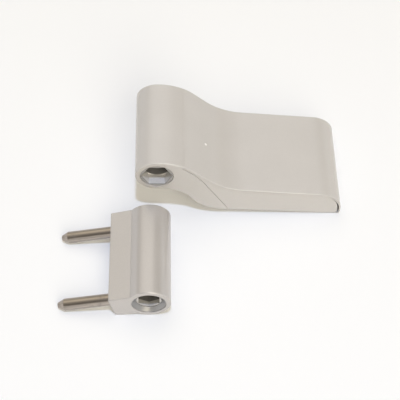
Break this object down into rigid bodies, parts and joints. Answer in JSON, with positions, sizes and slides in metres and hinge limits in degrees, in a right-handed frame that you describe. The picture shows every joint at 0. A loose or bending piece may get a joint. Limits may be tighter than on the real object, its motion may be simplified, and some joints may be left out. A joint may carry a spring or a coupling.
{
  "type": "door hinge",
  "caption": "Flag-type door hinge with its halves apart: covered leaf on a bent arm with a hexagon-socket eye, and a barrel on a block with steel fixing pins.",
  "frame": {"origin": "middle of the four door-screw holes, on the face of the base plate that lies against the door", "axes": "+Z out of the door face, +Y along both barrels towards the closed end of the eye, +X from the eye towards the leaf's free end"},
  "size_m": [0.1406, 0.1083, 0.0429],
  "materials": {
    "coated_body": "satin pearl powder coat",
    "coated_cover": "satin pearl powder coat",
    "coated_cap": "satin pearl powder coat",
    "zinc_plate": "zinc plated",
    "screw_steel": "zinc plated",
    "bush_steel": "blue-grey zinc plated",
    "pin_steel": "ground bright",
    "stud_steel": "hardened and polished",
    "bearing_plastic": "moulded",
    "thrust_plastic": "moulded",
    "plug_plastic": "moulded, colour matched"
  },
  "bodies": {
    "base": {"base_plate": "zinc_plate", "clamp_screws": "screw_steel", "clamp_washers": "screw_steel"},
    "flag": {"flag_arm": "coated_body", "leaf_cover": "coated_cover", "end_cap_near": "coated_cap", "end_cap_far": "coated_cap", "hex_bush": "bush_steel", "eye_sleeve": "bearing_plastic", "eye_plug": "plug_plastic", "bush_lock_screw": "screw_steel"},
    "pin": {"hinge_pin": "pin_steel"},
    "bearing": {"bearing_bush": "bearing_plastic", "thrust_washer": "thrust_plastic"},
    "frame_half": {"frame_knuckle": "coated_body", "fixing_pin_far": "pin_steel", "fixing_pin_near": "pin_steel", "key_pin": "pin_steel", "seat_ring": "bush_steel"},
    "adjuster": {"height_screw": "bush_steel"},
    "lifter": {"pressure_piece": "bush_steel", "thrust_stud": "stud_steel"}
  },
  "joints": [
    {"name": "side_adjust", "type": "slide", "parent": "base", "child": "flag", "axis": [1, 0, 0], "range_m": [-0.003, 0.003]},
    {"name": "bring_together", "type": "slide", "parent": "flag", "child": "bearing", "axis": [0.1573, 0.3295, 0.931], "range_m": [0, 0.02352]},
    {"name": "swing", "type": "hinge", "parent": "bearing", "child": "frame_half", "pos_m": [-0.0617, -0.0333, 0.0105], "axis": [0, 1, 0], "range_deg": [0, 180]},
    {"name": "pin_travel", "type": "slide", "parent": "flag", "child": "pin", "axis": [0, -1, 0], "range_m": [0, 0.0285]},
    {"name": "height_turn", "type": "hinge", "parent": "frame_half", "child": "adjuster", "pos_m": [-0.0617, -0.0833, 0.0105], "axis": [0, 1, 0], "range_deg": [-360, 360]},
    {"name": "height_travel", "type": "slide", "parent": "frame_half", "child": "lifter", "axis": [0, 1, 0], "range_m": [-0.0015, 0.0015]}
  ],
  "couplings": [
    {"joint": "height_turn", "follows": "height_travel", "rad_per_m": -4188.8}
  ]
}
